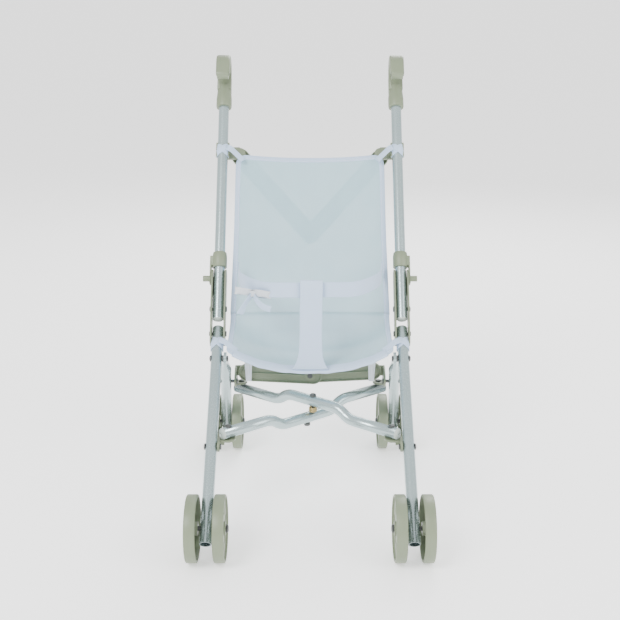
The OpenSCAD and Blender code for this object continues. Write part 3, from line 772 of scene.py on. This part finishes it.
# %% A node tree that sews along a line
def stitch_tree():
    tree = bpy.data.node_groups.new("stitches", "GeometryNodeTree")
    tree.interface.new_socket("Geometry", in_out="INPUT", socket_type="NodeSocketGeometry")
    for label, value in (("Pitch", 0.004), ("Stitch length", 0.0028), ("Thread radius", 0.0003)):
        socket = tree.interface.new_socket(label, in_out="INPUT", socket_type="NodeSocketFloat")
        socket.default_value = value
    seed = tree.interface.new_socket("Seed", in_out="INPUT", socket_type="NodeSocketInt")
    seed.default_value = 3
    tree.interface.new_socket("Finish", in_out="INPUT", socket_type="NodeSocketMaterial")
    tree.interface.new_socket("Geometry", in_out="OUTPUT", socket_type="NodeSocketGeometry")
    new, link = tree.nodes.new, tree.links.new
    source, sink = new("NodeGroupInput"), new("NodeGroupOutput")
    spaced = new("GeometryNodeCurveToPoints")
    spaced.mode = "LENGTH"
    thread = new("GeometryNodeMeshCylinder")
    thread.inputs["Vertices"].default_value = 6
    wobble = new("FunctionNodeRandomValue")
    wobble.data_type = "FLOAT"
    wobble.inputs["Min"].default_value = 0.85
    wobble.inputs["Max"].default_value = 1.1
    copies = new("GeometryNodeInstanceOnPoints")
    real = new("GeometryNodeRealizeInstances")
    smooth = new("GeometryNodeSetShadeSmooth")
    paint = new("GeometryNodeSetMaterial")
    link(source.outputs["Geometry"], spaced.inputs["Curve"])
    link(source.outputs["Pitch"], spaced.inputs["Length"])
    link(source.outputs["Stitch length"], thread.inputs["Depth"])
    link(source.outputs["Thread radius"], thread.inputs["Radius"])
    link(source.outputs["Seed"], wobble.inputs["Seed"])
    link(spaced.outputs["Points"], copies.inputs["Points"])
    link(thread.outputs["Mesh"], copies.inputs["Instance"])
    aim = new("FunctionNodeAlignRotationToVector")
    aim.axis = "Z"
    link(spaced.outputs["Tangent"], aim.inputs["Vector"])
    link(aim.outputs["Rotation"], copies.inputs["Rotation"])
    link(wobble.outputs[1], copies.inputs["Scale"])
    link(copies.outputs["Instances"], real.inputs["Geometry"])
    link(real.outputs["Geometry"], smooth.inputs["Geometry"])
    link(smooth.outputs["Geometry"], paint.inputs["Geometry"])
    link(source.outputs["Finish"], paint.inputs["Material"])
    link(paint.outputs["Geometry"], sink.inputs["Geometry"])
    return tree


STITCHES = stitch_tree()


def seam_lines(surface, path):
    """The seam on both faces of the binding, near its inner edge."""
    points, sides = border(surface, path, 0.08)
    middle_line = [p + s * BIND_W * 0.62 for p, s in zip(points, sides)]
    line = smooth_line(middle_line, 3)
    ahead = [(b - a).normalized() for a, b in zip(line, line[1:])] + [(line[-1] - line[-2]).normalized()]
    across = smooth_line(sides, 3)
    faces = []
    for sign in (-1, 1):
        faces.append([p + s.cross(t).normalized() * sign * BIND_T * 0.47
                      for p, s, t in zip(line, across, ahead)])
    return faces


def sew(name, surface, path):
    holder = line_object(name + "_line", seam_lines(surface, path))
    piece = grown(name, holder, STITCHES, Pitch=4.0 * MM, Stitch_length=2.9 * MM,
                  Thread_radius=0.3 * MM, Seed=3, Finish=STITCH_THREAD)
    cross_blend(piece)
    print(name, len(piece.data.polygons), "faces")
    return piece


seat_seam = sew("seat_seam", seat_surface, seat_path)
back_seam = sew("back_seam", back_surface, back_path)

# %% [markdown]
# ### The soft front roll
# At the front the cloth is turned over twice, so its edge is a soft roll that the straps are sewn
# into. A thicker tape laid on the front edge gives that fullness.

# %% Front roll
def front_roll():
    places = steps_between(-0.93, 0.93, 18)
    points = [seat_surface(u, 0.035) + Vector((0, -0.8 * MM, 0.4 * MM * math.sin(23 * u))) for u in places]
    sides = [(seat_surface(u, 0.10) - seat_surface(u, 0.0)).normalized() for u in places]
    piece = tape("seat_front_roll", points, sides, 11.5 * MM, 4.6 * MM, BLUE_TAPE, steps=5, rim=16)
    cross_blend(piece)
    return piece


seat_roll = front_roll()
print("front roll", len(seat_roll.data.polygons), "faces")

# %% [markdown]
# ### Straps
# The crotch strap comes up from the front roll and passes in front of the waist strap, whose two halves stop
# behind it.

# %% Crotch strap
STRAP_W = 26 * MM
STRAP_T = 1.5 * MM


def flattening(piece):
    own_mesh(piece)


def crotch_strap():
    climb = [(160.5, 157), (154.5, 160.5), (151, 176), (150, 200), (149.5, 230), (149, 250), (149.2, 268)]
    points = [Vector((0.3 * MM * i, y * MM, z * MM)) for i, (y, z) in enumerate(climb)]
    width = [48 * MM, 40 * MM, 29 * MM, STRAP_W, STRAP_W, STRAP_W, STRAP_W]
    piece = tape("crotch_strap_cloth", points, [Vector((1, 0, 0))] * len(points), width, STRAP_T, BLUE_TAPE)
    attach(piece, "left_frame")
    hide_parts("crotch_strap")
    print("crotch strap %.0f mm long" % (tape_length(points) / MM))
    return piece


crotch = crotch_strap()
flattening(crotch)

# %% Waist straps
WAIST_Z = 255 * MM
WAIST_W = 18 * MM


def waist_strap(side, word):
    route = [(87, 243, 2), (86, 228, 1), (83, 204, 0), (72, 180, 0), (52, 161, -1),
             (24, 154.2, 0), (11, 153.8, 0)]
    points = [Vector((side * x * MM, y * MM + side * 0.9 * MM, WAIST_Z + lift * MM)) for x, y, lift in route]
    piece = tape(f"waist_strap_{word}_cloth", points, [Vector((0, 0.05, 1))] * len(points), WAIST_W, STRAP_T,
                 BLUE_TAPE)
    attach(piece, word + "_handle")
    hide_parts("waist_strap_" + word)
    flattening(piece)
    return piece


waist = [waist_strap(side, word) for side, word in ((-1, "left"), (1, "right"))]
print("waist straps:", [w.name for w in waist])

# %% [markdown]
# ### The bow
# The waist strap is tied at one side. A bow is four short tapes: two loops that leave the knot and
# come back to it, and two tails. A small wrap over the middle hides where they meet.

# %% Bow on the waist strap
BOW = Vector((-66 * MM, 170 * MM, 247 * MM))
TIE_W = 9 * MM
TIE_T = 0.9 * MM


def bow_part(name, offsets, material, width=TIE_W):
    points = [BOW + Vector(o) * MM for o in offsets]
    piece = tape(name, points, [Vector((0.1, -0.35, 1))] * len(points), width, TIE_T, material, steps=7)
    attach(piece, "left_handle")
    flattening(piece)
    return piece


bow = [bow_part("bow_loop_outer",
                [(0, -2, 0), (-8, -9, 4), (-17, -10, 6), (-19, -4, 4), (-10, 0, 1), (0, -1, 0)], WHITE_TAPE),
       bow_part("bow_loop_inner",
                [(0, -2, 0), (9, -12, 3), (18, -14, 2), (20, -9, 0), (10, -5, -1), (0, -1, 0)], WHITE_TAPE),
       bow_part("bow_tail_outer", [(0, -2, 0), (-6, -8, -7), (-11, -10, -15), (-15, -9, -23)], BLUE_TAPE),
       bow_part("bow_tail_inner", [(0, -2, -1), (5, -9, -7), (12, -12, -13), (21, -13, -16)], BLUE_TAPE),
       bow_part("bow_knot",
                [(-3.5, 0, -1), (-3, -4.5, 0), (0, -6, 0.5), (3, -5.5, 0), (3.5, -1.5, -1)], WHITE_TAPE,
                8 * MM)]
print("bow pieces:", len(bow))

# %% [markdown]
# ### Ties on the tubes
# The top corners of the back are knotted to the handle tubes, and the front corners of the seat
# to the legs. Each tie goes round its tube twice, so that the turns cross in front, and its ends
# reach in to the cloth.

# %% A tie round a leaning tube
TURN_LEAN = 5 * MM


def tube_tie(name, spot, upward, behind, side, up, reach, body, width, material):
    """Two crossed turns round the tube at spot(x, up), and an end that reaches in to the cloth."""
    around = TUBE_R + 0.6 * MM
    middle_x = side * SIDE_X
    pieces = []
    for number, lean in enumerate((1, -1)):
        points, flat = [], []
        for i in range(15):
            a = 2 * math.pi * i / 14 + math.pi / 2
            swell = around + 0.3 * MM * number
            out = Vector((math.cos(a) * swell * side, 0, 0))
            points.append(spot(middle_x, up + lean * TURN_LEAN * math.cos(a), 0) + out
                          + behind * math.sin(a) * swell)
            flat.append(upward + Vector((side * lean * 0.4 * math.sin(a), 0, 0)))
        pieces.append(tape(f"{name}_turn_{number + 1}", points, flat, width, TIE_T, material, steps=3))
    pieces.append(tape(f"{name}_end", reach, [upward] * len(reach), width, TIE_T, material, steps=6))
    for piece in pieces:
        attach(piece, body)
    return pieces


# %% The four ties
TOP_TIE_UP = 222 * MM
SEAT_TIE_UP = 233 * MM
TOP_TIE_W = 7.5 * MM
ties = []
for side, word in ((-1, "left"), (1, "right")):
    top_reach = [on_handle(side * x * MM, up * MM, back * MM) for x, up, back in
                 ((104, 224, -6.5), (99, 221, -7.5), (92, 215, -5), (84, 208, -2))]
    ties += tube_tie(f"{word}_top_tie", on_handle, UP_HANDLE, BEHIND_HANDLE, side, TOP_TIE_UP, top_reach,
                     word + "_handle", TOP_TIE_W, BLUE_TAPE)
    low_reach = [on_leg(side * x * MM, up * MM, back * MM) for x, up, back in
                 ((108, 234, -8), (101, 231, -9), (95, 226, -8.5), (86, 220, -6))]
    ties += tube_tie(f"{word}_front_tie", on_leg, UP_LEG, BEHIND_LEG, side, SEAT_TIE_UP, low_reach,
                     word + "_frame", TOP_TIE_W, BLUE_TAPE)
print("ties:", len(ties))

# %% [markdown]
# ### Ribbons under the seat
# Narrow white ribbons hold the underside of the seat down to the rear brackets. Each is three
# strands of one ribbon, a little apart, as a hand-tied ribbon ends up.

# %% Seat ribbons
def seat_ribbons(side, word):
    low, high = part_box(word + "_seat_tie")
    middle_x = (low.x + high.x) / 2
    strands = []
    for number, (spread, bow_out) in enumerate(((-3.6, 0.5), (0, -0.6), (3.6, 0.8))):
        points = [Vector((middle_x + side * spread * MM * (1 - 0.5 * t), low.y + (high.y - low.y) * t
                          + bow_out * MM * math.sin(math.pi * t), high.z + (low.z - high.z) * t))
                  for t in steps_between(0, 1, 5)]
        strand = tape(f"{word}_seat_ribbon_{number + 1}", points, [Vector((1, 0, 0))] * 6, 3.0 * MM, 0.7 * MM,
                      WHITE_TAPE)
        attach(strand, word + "_frame")
        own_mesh(strand)
        strands.append(strand)
    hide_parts(word + "_seat_tie")
    return strands


ribbons = [seat_ribbons(side, word) for side, word in ((-1, "left"), (1, "right"))]
print("ribbons:", sum(len(r) for r in ribbons))

# %% [markdown]
# ### The spring where the tubes cross
# A small coil spring keeps the crossed tubes apart. A coil is a line with a rule, so the same
# sweep that made the tubes makes it, with a thin radius.

# %% Centre spring
SPRING_TURNS = 5
SPRING_WIRE_R = 0.55 * MM
STEPS_PER_TURN = 24


def centre_spring():
    low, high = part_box("centre_spring")
    coil_r = (high.x - low.x) / 2 - SPRING_WIRE_R
    axis = (low + high) / 2
    count = SPRING_TURNS * STEPS_PER_TURN
    climb = high.z - low.z - 2 * SPRING_WIRE_R
    line = [Vector((axis.x + coil_r * math.cos(2 * math.pi * i / STEPS_PER_TURN),
                    axis.y + coil_r * math.sin(2 * math.pi * i / STEPS_PER_TURN),
                    low.z + SPRING_WIRE_R + climb * i / count))
            for i in range(count + 1)]
    coil = grown("centre_spring_wire", line_object("spring_line", [line]), SWEEP, Tube_radius=SPRING_WIRE_R,
                 Sides=10, Finish=SPRING_WIRE)
    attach(coil, body_of_node["centre_spring"])
    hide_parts("centre_spring")
    print("spring: %d turns over %.1f mm" % (SPRING_TURNS, (high.z - low.z) / MM))


centre_spring()
